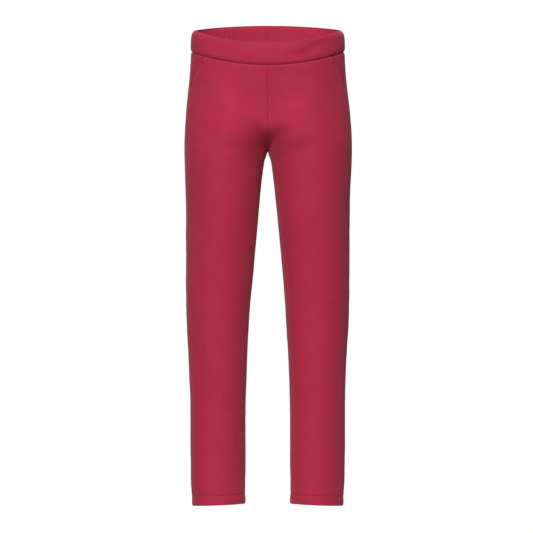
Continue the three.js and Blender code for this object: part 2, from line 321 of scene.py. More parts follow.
    def shift(self, angle: Array, z: Array) -> Array:
        """Rise of the cloth over its level cut: the waist edge's dip and the hem's slant."""
        sine = np.sin(angle)
        dip = np.where(sine >= 0, -self.front_dip, self.back_rise) * sine**2
        dip = dip * (1.0 - smoothstep(-z, self.band_height, self.dip_end))
        slant = self.hem_lift * sine + self.hem_slant * np.cos(angle)
        start, end = (self.outseam - height for height in self.hem_reach)
        return dip + slant * smoothstep(-z, start, end)

    def point(self, angle: Array, z: Array, lift: Array) -> Array:
        """Points of the left half.

        Args:
            angle: Angles round the tube.
            z: Heights before the waist edge's dip.
            lift: Distances out of the smooth outer face.

        Returns:
            Coordinates in a last axis of three.
        """
        middle, radius, front, back = self.section(z)
        facing = np.sin(angle) >= 0
        depth = np.where(facing, front, back)
        x = middle - radius * np.cos(angle)
        end, last = (self.rise - height for height in self.valley_end)
        closing = 1.0 - smoothstep(-z, end, last)
        round_off = self.valley * smoothstep(-z, *self.valley_start) * closing
        fade = np.clip(1.0 - x / self.valley_reach, 0.0, 1.0) * (z > self.crotch)
        hypot = np.sqrt(x * x + round_off**2 + 1e-12)
        soft = x + (hypot - x) * fade
        cosine = np.clip((middle - soft) / radius, -1.0, 1.0)
        sine = np.sqrt(1.0 - cosine**2)
        sign = np.where(facing, -1.0, 1.0)
        normal_x = -cosine / radius * (1.0 - fade + fade * x / hypot)
        normal_y = sign * sine / depth
        length = np.sqrt(normal_x**2 + normal_y**2) + 1e-12
        y = sign * depth * sine + normal_y / length * lift
        y = y + sum(fold.sink(x, z) for fold in self.hollows) * smoothstep(-y, 0.0, 0.060)
        shift = self.shift(angle, z)
        return np.stack([x + normal_x / length * lift, y, z + shift], axis=-1)


@dataclass(frozen=True)
class Ripple:
    """Random waves in the cloth: how close round the tube and down it, and their pattern."""

    count: float
    drop: float
    seed: float


@dataclass(frozen=True)
class ClothRelief:
    """How the cloth of the panels departs from the smooth cut: folds, puckers and waves."""

    folds: tuple[Fold, ...] = (
        Fold(0.000, -0.178, 0.056, 0.082, 0.0, -0.0120),
        Fold(0.030, -0.239, 0.036, 0.016, 0.45, -0.0056),
        Fold(0.102, -0.200, 0.038, 0.080, 0.10, 0.0062),
        Fold(-0.094, -0.200, 0.036, 0.080, -0.10, 0.0056),
        Fold(0.088, -0.150, 0.090, 0.026, 0.95, 0.0016),
        Fold(-0.092, -0.160, 0.090, 0.026, -0.95, 0.0018),
        Fold(0.060, -0.245, 0.070, 0.022, 0.60, 0.0015),
        Fold(-0.062, -0.250, 0.070, 0.022, -0.60, 0.0017),
        Fold(0.045, -0.285, 0.055, 0.016, 0.75, -0.0012),
        Fold(-0.045, -0.290, 0.055, 0.016, -0.75, -0.0012),
        Fold(0.000, -0.120, 0.110, 0.050, 0.0, -0.0030, False),
        Fold(0.085, -0.275, 0.080, 0.020, 0.25, -0.0024, False),
        Fold(-0.085, -0.280, 0.080, 0.020, -0.25, -0.0024, False),
        Fold(0.105, -0.315, 0.070, 0.018, 0.30, 0.0016, False),
        Fold(-0.105, -0.322, 0.070, 0.018, -0.30, 0.0016, False),
        Fold(0.115, -0.600, 0.060, 0.022, 0.15, -0.0020, False),
        Fold(-0.112, -0.612, 0.060, 0.022, -0.15, -0.0020, False),
        Fold(0.110, -0.655, 0.055, 0.020, -0.20, 0.0014, False),
        Fold(-0.115, -0.662, 0.055, 0.020, 0.20, 0.0014, False),
    )
    front_edge: Pair = (0.22, 0.75)
    back_edge: Pair = (0.05, 0.50)
    seeds: Pair = (3.0, 8.0)
    slow: Ripple = Ripple(2.4, 0.130, 0.0)
    quick: Ripple = Ripple(5.0, 0.052, 5.0)
    grain: Ripple = Ripple(16.0, 0.017, 9.0)
    quick_share: float = 0.35
    wave_start: Pair = (0.055, 0.14)
    seam_calm: float = 0.012
    wave_height: float = 0.0013
    grain_height: float = 0.00022
    pucker_height: float = 0.00042
    pucker_pitch: float = 0.019
    pucker_reach: float = 0.011
    shin_pucker: float = 0.9

    def body(self, cut: TrouserCut, side: Side, angle: Array, z: Array) -> Array:
        """Lift of the broad folds and waves.

        Args:
            cut: The garment's cut.
            side: Which half.
            angle: Angles round the tube.
            z: Heights.

        Returns:
            Lift at each point.
        """
        middle, radius, _, _ = cut.section(z)
        x = (middle - radius * np.cos(angle)) * side.value
        front = smoothstep(np.sin(angle), *self.front_edge)
        back = smoothstep(-np.sin(angle), *self.back_edge)
        lift = np.zeros_like(x)
        for fold in self.folds:
            lift += fold.rise(x, z) * (front if fold.front else back)
        seed = self.seeds[side is Side.RIGHT]
        slow, quick, grain = (
            self.round_noise(angle, z, ripple, seed + ripple.seed)
            for ripple in (self.slow, self.quick, self.grain)
        )
        calm = smoothstep(-z, *self.wave_start)
        lift += calm * self.wave_height * (slow + self.quick_share * quick)
        lift += self.grain_height * grain
        return lift * (1.0 - bump(z, cut.waist_seam, self.seam_calm))

    def round_noise(self, angle: Array, z: Array, ripple: Ripple, seed: float) -> Array:
        """Noise that meets itself again after one turn round the tube."""
        turn = angle / math.pi
        onward = lattice_noise(turn * ripple.count + seed, z / ripple.drop, seed)
        again = lattice_noise((turn - 2.0) * ripple.count + seed, z / ripple.drop, seed)
        return blend(onward, again, smoothstep(turn, 1.15, 1.98))

    def pucker(self, distance: Array, z: Array, seed: float) -> Array:
        """Lift of the small puckers that a seam draws in the cloth beside it.

        Args:
            distance: Distance from the seam.
            z: Heights along the seam.
            seed: Number that sets where the puckers fall.

        Returns:
            Lift at each point.
        """
        drift = lattice_noise(z / 0.06, np.full_like(z, seed), seed) * 1.4
        strength = 0.55 + 0.45 * lattice_noise(z / 0.11 + seed, np.full_like(z, 0.5), seed + 2.0)
        strength = strength + self.shin_pucker * bump(z, -0.800, 0.130)
        ripple = np.sin(2 * math.pi * z / self.pucker_pitch + drift * 2.2 + seed)
        return self.pucker_height * strength * ripple * np.exp(-distance / self.pucker_reach)


# ---- meshes


def clear_selection() -> None:
    """Deselects every object."""
    for item in bpy.context.selected_objects:
        item.select_set(False)


def make_active(piece: Piece) -> None:
    """Selects one object alone and makes it active."""
    clear_selection()
    piece.select_set(True)
    bpy.context.view_layer.objects.active = piece


def new_piece(name: str, vertices: Array, faces: list[list[int]]) -> Piece:
    """Makes a smooth piece of the vertices and faces given, and adds it to the scene."""
    mesh = bpy.data.meshes.new(name)
    mesh.from_pydata(vertices.reshape(-1, 3).tolist(), [], faces)
    mesh.polygons.foreach_set("use_smooth", np.ones(len(mesh.polygons), dtype=bool))
    mesh.update()
    piece = bpy.data.objects.new(name, mesh)
    bpy.context.scene.collection.objects.link(piece)
    return piece


def thicken(piece: Piece, thickness: float) -> None:
    """Gives a sheet its thickness inwards, with closed edges."""
    make_active(piece)
    wall = piece.modifiers.new("cloth thickness", "SOLIDIFY")
    wall.thickness = thickness
    wall.offset = -1.0
    wall.use_rim = True
    bpy.ops.object.modifier_apply(modifier=wall.name)


def grid_piece(
    name: str, points: Array, weave: Array, flip: bool, thickness: float, ring: bool = False
) -> Piece:
    """Makes a sheet from a grid of points, with its weave laid along the cloth.

    Args:
        name: Name of the piece.
        points: Coordinates as rows, columns, 3.
        weave: Place of each point on the flat cloth, as rows, columns, 2.
        flip: Whether the faces are turned over.
        thickness: Thickness of the cloth.
        ring: Whether the last column joins the first, and so repeats its points.

    Returns:
        The new object.
    """
    rows, columns = points.shape[:2]
    wrap = columns - 1 if ring else columns
    r, c = np.meshgrid(np.arange(rows - 1), np.arange(columns - 1), indexing="ij")
    corners = np.stack([(r, c), (r + 1, c), (r + 1, c + 1), (r, c + 1)], axis=0)
    if flip:
        corners = corners[::-1]
    index = (corners[:, 0] * wrap + corners[:, 1] % wrap).reshape(4, -1).T
    piece = new_piece(name, points[:, :wrap], index.tolist())
    flat = weave[corners[:, 0], corners[:, 1]].reshape(4, -1, 2).transpose(1, 0, 2)
    layer = piece.data.uv_layers.new(name="cloth")
    layer.data.foreach_set("uv", np.ascontiguousarray(flat, dtype=np.float32).ravel())
    thicken(piece, thickness)
    return piece


def length_along(points: Array, axis: int) -> Array:
    """Length along one axis of a grid of points, from its first row or column."""
    steps = np.linalg.norm(np.diff(points, axis=axis), axis=2)
    first = np.zeros_like(np.take(steps, [0], axis=axis))
    return np.concatenate([first, np.cumsum(steps, axis=axis)], axis=axis)


# ---- finishes


@dataclass
class ShaderGraph:
    """A node tree while it is being wired. Input names are given with _ for each space."""

    tree: bpy.types.NodeTree

    def feed(self, node: bpy.types.Node, **inputs: object) -> None:
        """Sets each named input of a node to a plain value, or links another node's result."""
        for name, value in inputs.items():
            self.plug(node.inputs[name.replace("_", " ")], value)

    def plug(self, socket: Socket, value: object) -> None:
        """Sets or links one input."""
        if isinstance(value, Socket):
            self.tree.links.new(value, socket)
        else:
            socket.default_value = value

    def add(self, kind: str, **inputs: object) -> bpy.types.Node:
        """Adds one node and feeds it."""
        node = self.tree.nodes.new(f"ShaderNode{kind}")
        self.feed(node, **inputs)
        return node

    def math(self, operation: str, *values: object) -> Socket:
        """Adds one Math node and gives its result."""
        node = self.add("Math")
        node.operation = operation
        for socket, value in zip(node.inputs, values, strict=False):
            self.plug(socket, value)
        return node.outputs[0]

    def noise(self, scale: float, detail: float) -> Socket:
        """Adds noise fixed to the object and gives its strength."""
        place = self.add("TexCoord").outputs["Object"]
        return self.add("TexNoise", Scale=scale, Detail=detail, Vector=place).outputs["Fac"]

    def colour(self, tone: Socket, dark: Triple, light: Triple) -> Socket:
        """Mixes the dark and the light colour by a tone."""
        mix = self.add("Mix")
        mix.data_type = "RGBA"
        self.feed(mix, Factor=tone, A=(*dark, 1.0), B=(*light, 1.0))
        return mix.outputs["Result"]

    def relief(self, height: Socket, strength: float, distance: float) -> Socket:
        """Turns fine heights into a normal."""
        bumps = self.add("Bump", Strength=strength, Distance=distance, Height=height)
        return bumps.outputs["Normal"]


def new_finish(name: str) -> tuple[bpy.types.Material, ShaderGraph, bpy.types.Node]:
    """Makes a material, and gives it with its graph and its main shader."""
    material = bpy.data.materials.new(name)
    material.use_nodes = True
    tree = material.node_tree
    return material, ShaderGraph(tree), tree.nodes["Principled BSDF"]


@dataclass(frozen=True)
class KnitFinish:
    """Matte polyester knit with fine upright ribs of loops and a soft sheen."""

    name: str
    colour: Triple
    shade: Triple
    roughness: float = 0.74
    sheen: float = 0.16
    sheen_tint: tuple[float, float, float, float] = (0.86, 0.70, 0.74, 1.0)
    sheen_roughness: float = 0.42
    specular: float = 0.14
    wale: float = 0.00105
    course: float = 0.00085
    slant: float = 1.1
    loop_share: float = 0.55
    relief: float = 0.00022
    relief_strength: float = 0.55
    fuzz_scale: float = 2600.0
    cloud_scale: float = 34.0
    mottle: float = 0.49

    def loops(self, graph: ShaderGraph) -> Socket:
        """Heights of the knitted loops, which follow the cloth's own weave map.

        Args:
            graph: The material's graph.

        Returns:
            The heights, from 0 to 1.
        """
        weave = graph.add("UVMap")
        weave.uv_map = "cloth"
        split = graph.add("SeparateXYZ", Vector=weave.outputs[0])
        in_wale = graph.math("FRACT", graph.math("DIVIDE", split.outputs[0], self.wale))
        along = graph.math("DIVIDE", split.outputs[1], self.course)
        from_rib = graph.math("ABSOLUTE", graph.math("SUBTRACT", in_wale, 0.5))
        rib = graph.math("SINE", graph.math("MULTIPLY", in_wale, math.pi))
        slanted = graph.math("ADD", along, graph.math("MULTIPLY", from_rib, self.slant))
        loop = graph.math("SINE", graph.math("MULTIPLY", slanted, 2 * math.pi))
        loop = graph.math("MULTIPLY", graph.math("ADD", loop, 1.0), 0.5 * self.loop_share)
        return graph.math("MULTIPLY", rib, graph.math("ADD", loop, 1.0 - self.loop_share))

    def material(self) -> bpy.types.Material:
        """Builds the finish.

        Returns:
            The new material.
        """
        material, graph, shader = new_finish(self.name)
        knit = self.loops(graph)
        fuzz = graph.noise(self.fuzz_scale, 3.0)
        cloud = graph.math("SUBTRACT", graph.noise(self.cloud_scale, 5.0), 0.5)
        height = graph.math("ADD", knit, graph.math("MULTIPLY", fuzz, 0.35))
        tone = graph.math("MULTIPLY", knit, 0.55)
        tone = graph.math("ADD", tone, graph.math("MULTIPLY", fuzz, 0.20))
        tone = graph.math("ADD", tone, graph.math("MULTIPLY", cloud, self.mottle))
        rough = graph.math("ADD", graph.math("MULTIPLY", fuzz, 0.16), self.roughness - 0.08)
        graph.feed(
            shader,
            Base_Color=graph.colour(graph.math("ADD", tone, 0.25), self.shade, self.colour),
            Normal=graph.relief(height, self.relief_strength, self.relief),
            Roughness=graph.math("SUBTRACT", rough, graph.math("MULTIPLY", knit, 0.06)),
            Sheen_Weight=self.sheen,
            Sheen_Roughness=self.sheen_roughness,
            Sheen_Tint=self.sheen_tint,
            Specular_IOR_Level=self.specular,
        )
        return material


@dataclass(frozen=True)
class ThreadFinish:
    """Spun polyester thread with a fine twist and a little gloss."""

    name: str
    colour: Triple
    shade: Triple
    roughness: float = 0.46
    specular: float = 0.15
    sheen: float = 0.06
    sheen_roughness: float = 0.35
    twist: float = 900.0
    relief: float = 0.00008

    def material(self) -> bpy.types.Material:
        """Builds the finish.

        Returns:
            The new material.
        """
        material, graph, shader = new_finish(self.name)
        place = graph.add("TexCoord").outputs["Object"]
        wave = graph.add("TexWave", Scale=self.twist, Distortion=1.2, Vector=place)
        wave.wave_type = "BANDS"
        wave.bands_direction = "DIAGONAL"
        twist = wave.outputs["Fac"]
        graph.feed(
            shader,
            Base_Color=graph.colour(twist, self.shade, self.colour),
            Normal=graph.relief(twist, 0.5, self.relief),
            Roughness=self.roughness,
            Specular_IOR_Level=self.specular,
            Sheen_Weight=self.sheen,
            Sheen_Roughness=self.sheen_roughness,
        )
        return material


BODY_KNIT = KnitFinish("raspberry_knit", (0.560, 0.0310, 0.0820), (0.370, 0.0170, 0.0480))
LINING_KNIT = KnitFinish(
    "raspberry_lining", (0.440, 0.0260, 0.0660), (0.200, 0.0100, 0.0260),
    roughness=0.66, wale=0.0016, course=0.0014, relief=0.00030,
)
ELASTIC_KNIT = KnitFinish(
    "white_elastic", (0.76, 0.73, 0.70), (0.52, 0.49, 0.46),
    roughness=0.62, sheen_tint=(1.0, 1.0, 1.0, 1.0), wale=0.0018, course=0.0009,
)
SEAM_THREAD = ThreadFinish("raspberry_thread", (0.180, 0.0060, 0.0200), (0.110, 0.0030, 0.0100))
# Thread painted pale and greyish pink: partly the thread's own colour, partly a painted highlight
# and sheen of the pocket edge's ridge. The waistband stitches use it too.
PALE_THREAD_WITH_PAINTED_HIGHLIGHT = ThreadFinish("pale_raspberry_thread", (0.74, 0.150, 0.215), (0.54, 0.085, 0.135))


# ---- cloth panels


@dataclass(frozen=True)
class EdgeRoll:
    """How cloth turns in at a seam: steps of distance from the edge and depth below the face."""

    steps: tuple[Pair, ...] = (
        (6.0, 0.0), (4.2, 0.0), (2.8, 0.03), (1.8, 0.12), (1.1, 0.30), (0.55, 0.62),
        (0.18, 1.10), (0.0, 1.70), (0.25, 2.25), (1.2, 2.50), (4.0, 2.60), (8.5, 2.65),
    )

    def table(self) -> Array:
        """Distances from the edge and depths below the face, in metres."""
        return np.array(self.steps).T * MM

    def settled(self, calm: Array) -> tuple[Array, Array]:
        """The steps in each row, drawn up short and flat past the turn where calm is low.

        Args:
            calm: Share of the turned-in cloth that is left in each row.

        Returns:
            Distances and depths, as rows by steps.
        """
        distances, depths = self.table()
        turn = int(np.argmin(distances))
        past = np.arange(len(distances)) > turn
        share = np.where(past[None, :], calm[:, None], 1.0)
        distance, depth = (
            row[turn] + (row - row[turn]) * share for row in (distances, depths)
        )
        return distance, depth * (0.55 + 0.45 * calm[:, None])


SEAM_ROLL = EdgeRoll()
WAIST_ROLL = EdgeRoll(
    (
        (7.5, 0.0), (5.0, 0.06), (3.5, 0.20), (2.5, 0.46), (1.8, 0.88), (1.25, 1.50),
        (0.75, 2.30), (0.25, 3.10), (0.40, 3.60),
    ),
)
POCKET_ROLL = EdgeRoll(
    (
        (9.0, 0.0), (6.8, 0.0), (5.6, 0.06), (4.9, 0.26), (4.45, 0.52), (4.0, 0.62),
        (3.55, 0.46), (3.1, 0.12), (2.4, -0.18), (1.5, -0.24), (0.8, -0.02), (0.3, 0.42),
        (0.04, 1.05), (0.3, 1.65), (1.1, 1.95), (3.2, 2.05), (4.0, 2.05), (9.0, 2.10),
        (18.0, 2.15),
    ),
)
HEM_ROLL = EdgeRoll(
    (
        (29.0, 0.0), (25.0, 0.03), (23.4, 0.16), (22.6, 0.42), (22.0, 0.62), (21.4, 0.40),
        (20.6, 0.02), (19.0, -0.30), (16.0, -0.60), (12.0, -0.90), (7.0, -1.10), (4.0, -1.12),
        (2.2, -0.95), (1.1, -0.50), (0.35, 0.30), (0.0, 1.30), (0.35, 2.20), (1.3, 2.75),
        (4.0, 2.90), (12.0, 2.85), (20.0, 2.65), (23.6, 2.45), (25.0, 2.50), (26.0, 2.70),
    ),
)


def plain_seam_roll() -> EdgeRoll:
    """A plain seam's turn, with as many steps as the pocket edge has."""
    spare = len(POCKET_ROLL.steps) - len(SEAM_ROLL.steps)
    extra = tuple((9.0 - 3.0 * i / spare, 0.0) for i in range(spare))
    return EdgeRoll(extra + SEAM_ROLL.steps)


@dataclass
class ClothMaker:
    """Lays cloth on the garment's shape with its natural folds."""

    cut: TrouserCut
    relief: ClothRelief
    weave_top: float = 1.1

    def waist_rows(self) -> Array:
        """Heights and depths of the rows that turn in at the waist seam."""
        distances, depths = WAIST_ROLL.table()[:, ::-1]
        return np.array([self.cut.waist_seam - self.cut.seam_gap - distances, depths])

    def sheet(
        self, name: str, side: Side, points: Array, thickness: float, middle: int = 0
    ) -> Piece:
        """Makes one side's sheet of cloth.

        Args:
            name: Name of the piece.
            side: Which half it is on.
            points: Coordinates on the left half as rows, columns, 3.
            thickness: Thickness of the cloth.
            middle: Column along which the weave stands upright.

        Returns:
            The finished sheet.
        """
        down = self.weave_top - length_along(points, 0)
        weave = np.stack([length_along(points, 1), down], axis=-1)
        weave[..., 0] -= weave[:, middle, 0][:, None]
        points[..., 0] *= side.value
        return grid_piece(name, points, weave, side is Side.RIGHT, thickness)

    def surface_line(
        self, side: Side, angle: Array, z: Array, sink: float
    ) -> tuple[Array, Array]:
        """Points on the cloth at the angles and heights given, and the directions out of it."""
        lift = self.relief.body(self.cut, side, angle, z) - sink
        line = self.cut.point(angle, z, lift)
        out = self.cut.point(angle, z, lift + MM) - line
        mirror = np.array([side.value, 1.0, 1.0])
        return line * mirror, out * mirror


@dataclass
class PanelMaker(ClothMaker):
    """Lays out the four long panels with turned seams, turned hems and natural folds."""

    thickness: float = 0.0010
    columns: int = 62
    row_step: float = 0.0042
    ease_reach: float = 0.024
    ease_height: float = 0.060
    ease_edge: Pair = (0.002, 0.026)
    hem_calm: Pair = (0.024, 0.034)
    crotch_calm: Pair = (0.003, 0.024)
    pocket_change: Pair = (-0.010, 0.006)
    pucker_start: Pair = (-0.010, 0.030)
    seeds: Pair = (1.0, 12.0)

    def heights(self) -> tuple[Array, Array]:
        """Heights of the rows and how deep each lies, from the waist seam round the hem.

        Returns:
            The heights, and the depths below the face.
        """
        cut = self.cut
        upper, upper_depths = self.waist_rows()
        near = cut.crotch + np.array(
            [30, 26, 22, 18.5, 15, 12, 9.5, 7.5, 5.8, 4.4, 3.2, 2.2, 1.4, 0.8, 0.35, 0.0]
        ) * MM
        under = cut.crotch - np.array([0.8, 2.0, 3.6, 5.6, 8, 11, 14.5, 18.5, 22.5, 27]) * MM
        lower_distances, lower_depths = HEM_ROLL.table()
        lower = cut.hem + lower_distances
        seat, leg = (
            np.linspace(start, end, int((start - end) / self.row_step) + 1)[1:-1]
            for start, end in ((upper[-1], near[0]), (under[-1], lower[0]))
        )
        rows = np.concatenate([upper, seat, near, under, leg, lower])
        depths = np.zeros(len(rows))
        depths[: len(upper)] = upper_depths
        depths[-len(lower):] = lower_depths
        return rows, depths

    def layout(
        self,
        start: Array,
        end: Array,
        z: Array,
        first: tuple[Array, Array],
        last: tuple[Array, Array],
    ) -> tuple[Array, Array, Array, Array]:
        """Angles of a panel's columns in each row, with turned edges.

        Args:
            start: Angle of the first edge in each row.
            end: Angle of the last edge in each row.
            z: Heights of the rows.
            first: Distances and depths of the turn at the first edge.
            last: Distances and depths of the turn at the last edge.

        Returns:
            Angles, depths, and distances from the first and last edges, as rows by columns.
        """
        reach_start = self.cut.reach(start + 0.02, z)[:, None]
        reach_end = self.cut.reach(end - 0.02, z)[:, None]
        from_start = start[:, None] + first[0][:, ::-1] / reach_start
        from_end = end[:, None] - last[0] / reach_end
        share = np.linspace(0.0, 1.0, self.columns + 1)[None, 1:-1]
        low, high = from_start[:, -1:], from_end[:, :1]
        angles = np.concatenate([from_start, low + (high - low) * share, from_end], axis=1)
        plain = np.zeros((len(z), self.columns - 1))
        depths = np.concatenate([first[1][:, ::-1], plain, last[1]], axis=1)
        near_start = np.abs(angles - start[:, None]) * reach_start
        near_end = np.abs(end[:, None] - angles) * reach_end
        return angles, depths, near_start, near_end

    def ease_crotch(self, points: Array, z: Array, from_seam: Array) -> Array:
        """Rounds off the change from seat to leg, except at the seam itself.

        Args:
            points: Coordinates as rows, columns, 3.
            z: Heights of the rows.
            from_seam: Distance of each point from the inner seam.

        Returns:
            The eased coordinates.
        """
        spacing = np.abs(np.gradient(z))
        weights = np.exp(-(((z[:, None] - z[None, :]) / self.ease_reach) ** 2)) * spacing[None, :]
        weights /= weights.sum(axis=1, keepdims=True)
        eased = np.einsum("rs,sck->rck", weights, points)
        amount = smoothstep(from_seam, *self.ease_edge)
        amount = amount * bump(z, self.cut.crotch, self.ease_height)[:, None]
        return points + amount[..., None] * (eased - points)

    def build(self, name: str, side: Side, front: bool) -> Piece:
        """Makes one panel.

        Args:
            name: Name of the piece.
            side: Which half it is on.
            front: Whether it is a front panel.

        Returns:
            The finished panel.
        """
        cut = self.cut
        z, row_depth = self.heights()
        calm = 0.06 + 0.94 * smoothstep(z - cut.hem, *self.hem_calm)
        calm = calm * (0.08 + 0.92 * smoothstep(np.abs(z - cut.crotch), *self.crotch_calm))
        last = SEAM_ROLL.settled(calm)
        if front:
            start, end = cut.front_start(z), cut.pocket_edge(z)
            below = smoothstep(-z - cut.pocket_drop, *self.pocket_change)[:, None]
            pocket, plain = POCKET_ROLL.settled(calm), plain_seam_roll().settled(calm)
            last = tuple(blend(a, b, below) for a, b in zip(pocket, plain, strict=True))
        else:
            start, end = cut.side_seam(z) + cut.half_gap(z), cut.back_end(z)
        angles, depths, near_start, near_end = self.layout(
            start, end, z, SEAM_ROLL.settled(calm), last
        )
        heights = np.repeat(z[:, None], angles.shape[1], axis=1)
        seed = self.seeds[side is Side.RIGHT]
        near_inseam, near_side = (near_start, near_end) if front else (near_end, near_start)
        lift = self.relief.body(cut, side, angles, heights)
        legs = smoothstep(cut.crotch - heights, *self.pucker_start)
        lift += self.relief.pucker(near_inseam, heights, seed) * legs
        below_pocket = smoothstep(-heights, cut.pocket_drop, cut.pocket_drop + 0.03)
        lift += self.relief.pucker(near_side, heights, seed + 3.0) * below_pocket
        points = cut.point(angles, heights, lift - depths - row_depth[:, None])
        points = self.ease_crotch(points, z, near_inseam)
        return self.sheet(name, side, points, self.thickness, self.columns // 2)


# ---- waistband


@dataclass(frozen=True)
class RingPlan:
    """One ring of the waistband: its outline, its gathers and how it is sewn."""

    outline: tuple[Pair, ...]
    gather: float
    seam: float
    thickness: float
    seed: float
    inward: bool = False

    @property
    def rises(self) -> bool:
        """Whether the outline starts at its lower edge."""
        return self.outline[0][0] < self.outline[-1][0]


OUTER_BAND = RingPlan(
    (
        (-49.4, 3.95), (-49.85, 3.60), (-49.8, 3.05), (-49.4, 2.45), (-48.8, 1.80),
        (-48.0, 1.08), (-47.0, 0.32), (-45.6, -0.50), (-43.0, -1.12), (-39.0, -1.40),
        (-34.0, -1.45), (-28.0, -1.36), (-22.0, -1.16), (-17.0, -0.94), (-12.5, -0.70),
        (-9.0, -0.42), (-6.6, -0.26), (-5.2, -0.10), (-4.3, 0.10), (-3.7, 0.34),
        (-3.2, 0.46), (-2.7, 0.34), (-2.1, 0.08), (-1.5, -0.08), (-0.9, -0.02),
        (-0.4, 0.32), (-0.1, 0.95), (0.0, 1.80), (-0.05, 2.70), (-0.3, 3.40),
        (-0.8, 3.90), (-1.4, 4.10), (-2.0, 4.00), (-2.6, 3.60),
    ),
    gather=0.00036, seam=0.0004, thickness=0.0010, seed=2.0,
)
BAND_FACING = RingPlan(
    (
        (-2.9, 3.20), (-2.5, 3.80), (-2.4, 4.40), (-2.7, 4.80), (-3.2, 4.72), (-3.8, 5.00),
        (-4.8, 5.40), (-7.0, 5.80), (-10.0, 6.10), (-14.0, 6.30), (-19.0, 6.45), (-25.0, 6.50),
        (-31.0, 6.48), (-37.0, 6.50), (-42.0, 6.50), (-46.0, 6.50), (-49.0, 6.50),
        (-51.2, 6.45), (-52.6, 6.30), (-53.4, 5.80), (-53.6, 5.20), (-53.3, 4.90),
    ),
    gather=0.00135, seam=0.0017, thickness=0.0009, seed=6.0, inward=True,
)
BAND_ELASTIC = RingPlan(
    tuple((-5.5 - 0.75 * i, 1.75 + (0.12 if i % 4 < 2 else 0.0)) for i in range(53)),
    gather=0.00015, seam=0.0, thickness=0.0013, seed=4.0,
)


@dataclass
class WaistbandMaker:
    """Lays out the elastic waistband: outer cloth, facing and the elastic between them."""

    cut: TrouserCut
    columns: int = 560
    gathers: int = 66
    radius: float = 0.148
    seam_width: float = 0.0012
    seam_rows: float = 0.0068
    curl: float = 0.0085
    curl_reach: float = 0.0052
    side_ease: float = 0.0009
    folds: tuple[Fold, ...] = (
        Fold(0.092, -0.028, 0.042, 0.0110, 0.22, -0.0024),
        Fold(0.070, -0.014, 0.034, 0.009, 0.20, 0.0008),
        Fold(0.112, -0.014, 0.020, 0.008, -0.20, -0.0012),
        Fold(-0.085, -0.032, 0.040, 0.012, -0.30, -0.0009),
    )

    def turns(self) -> Array:
        """Turns from the front centre round the wearer's left, closer at the back seam."""
        near = np.array([-6.0, -4.0, -2.6, -1.6, -0.8, 0.0, 0.8, 1.6, 2.6, 4.0, 6.0]) * MM
        even = np.linspace(0.0, 2 * math.pi, self.columns + 1)
        keep = np.abs(even - math.pi) > self.seam_rows / self.cut.waist_half
        return np.sort(np.concatenate([even[keep], math.pi + near / self.cut.waist_half]))

    def lift(self, plan: RingPlan, turns: Array, z: Array) -> Array:
        """Lift of the upright gathers that the elastic draws, strongest at the back."""
        drift = lattice_noise(turns * self.radius / 0.045, z / 0.030 + plan.seed, plan.seed)
        drift = drift * smoothstep(np.abs(turns - math.pi), math.pi, math.pi - 0.2)
        wave = np.sin(turns * self.gathers + drift * 2.6 + z * 18.0)
        broad = lattice_noise(
            np.cos(turns) * 3.0 + plan.seed, np.sin(turns) * 3.0 + z / 0.06, plan.seed + 1.0
        )
        held = np.sin(math.pi * np.clip((z + 0.004) / -0.046, 0.02, 0.98)) ** 0.7
        rear = 0.22 + 0.78 * smoothstep(-np.cos(turns), -0.25, 0.75)
        patchy = 0.5 + 0.5 * lattice_noise(np.cos(turns) * 4.0, np.sin(turns) * 4.0, plan.seed)
        lift = plan.gather * held * rear * (wave * 0.35 * patchy + broad * 1.3)
        x = np.sin(turns) * self.cut.waist_half
        for fold in self.folds:
            lift += fold.rise(x, z) * smoothstep(np.cos(turns), -0.1, 0.2)
        side = np.abs(np.sin(turns)) ** 5
        curl = np.exp(np.minimum(z, 0.0) / self.curl_reach)
        return lift - (self.curl * curl + self.side_ease) * side

    def points(self, turns: Array, z: Array, lift: Array) -> Array:
        """Points round the waist, as rows, columns, 3."""
        left = turns <= math.pi
        angle = math.pi / 2 + np.where(left, turns, 2 * math.pi - turns)
        result = self.cut.point(angle, z, lift)
        middle = (np.abs(turns % math.pi) < 1e-9) | (np.abs(turns - math.pi) < 1e-9)
        across = np.where(left, result[..., 0], -result[..., 0])
        result[..., 0] = np.where(middle, 0.0, across)
        return result

    def ring(self, name: str, plan: RingPlan) -> Piece:
        """Makes one ring of cloth.

        Args:
            name: Name of the piece.
            plan: The ring's outline and gathers.

        Returns:
            The finished ring.
        """
        turns = self.turns()
        grid = np.repeat(turns[None, :], len(plan.outline), axis=0)
        outline = np.array(plan.outline) * MM
        z = np.repeat(outline[:, :1], len(turns), axis=1)
        depth = np.repeat(outline[:, 1:], len(turns), axis=1)
        gap = np.abs(grid - math.pi) * self.cut.waist_half
        groove = plan.seam * np.exp(-gap / self.seam_width)
        depth = depth + (-groove if plan.inward else groove) - self.lift(plan, grid, z)
        points = self.points(grid, z, -depth)
        weave = np.stack([length_along(points, 1), length_along(points, 0)], axis=-1)
        flip = plan.rises != plan.inward
        return grid_piece(name, points, weave, flip, plan.thickness, ring=True)

    def edge_path(self, drop: float, sink: float) -> tuple[Array, Array]:
        """A line round the outside of the waist.

        Args:
            drop: Distance below the band's top edge.
            sink: Depth of the line below the smooth face.

        Returns:
            The points of the line and the directions out of the cloth.
        """
        turns = np.linspace(0.0, 2 * math.pi, 1201)
        z = np.full_like(turns, -drop)
        lift = self.lift(OUTER_BAND, turns, z) - sink
        line = self.points(turns, z, lift)
        out = self.points(turns, z, lift + MM) - line
        return line, out


# ---- pockets


@dataclass(frozen=True)
class BagPlan:
    """One layer of the pocket bag: how far it stays behind the edge, and how deep it lies."""

    hidden: float
    released: Pair
    depth: float
    inboard: float
    sewn: float
    seed: float


FRONT_BAG = BagPlan(0.014, (0.128, 0.142), 3.4, 0.7, 0.75, 14.0)
BACK_BAG = BagPlan(0.020, (0.146, 0.160), 5.8, 0.0, -0.75, 21.0)


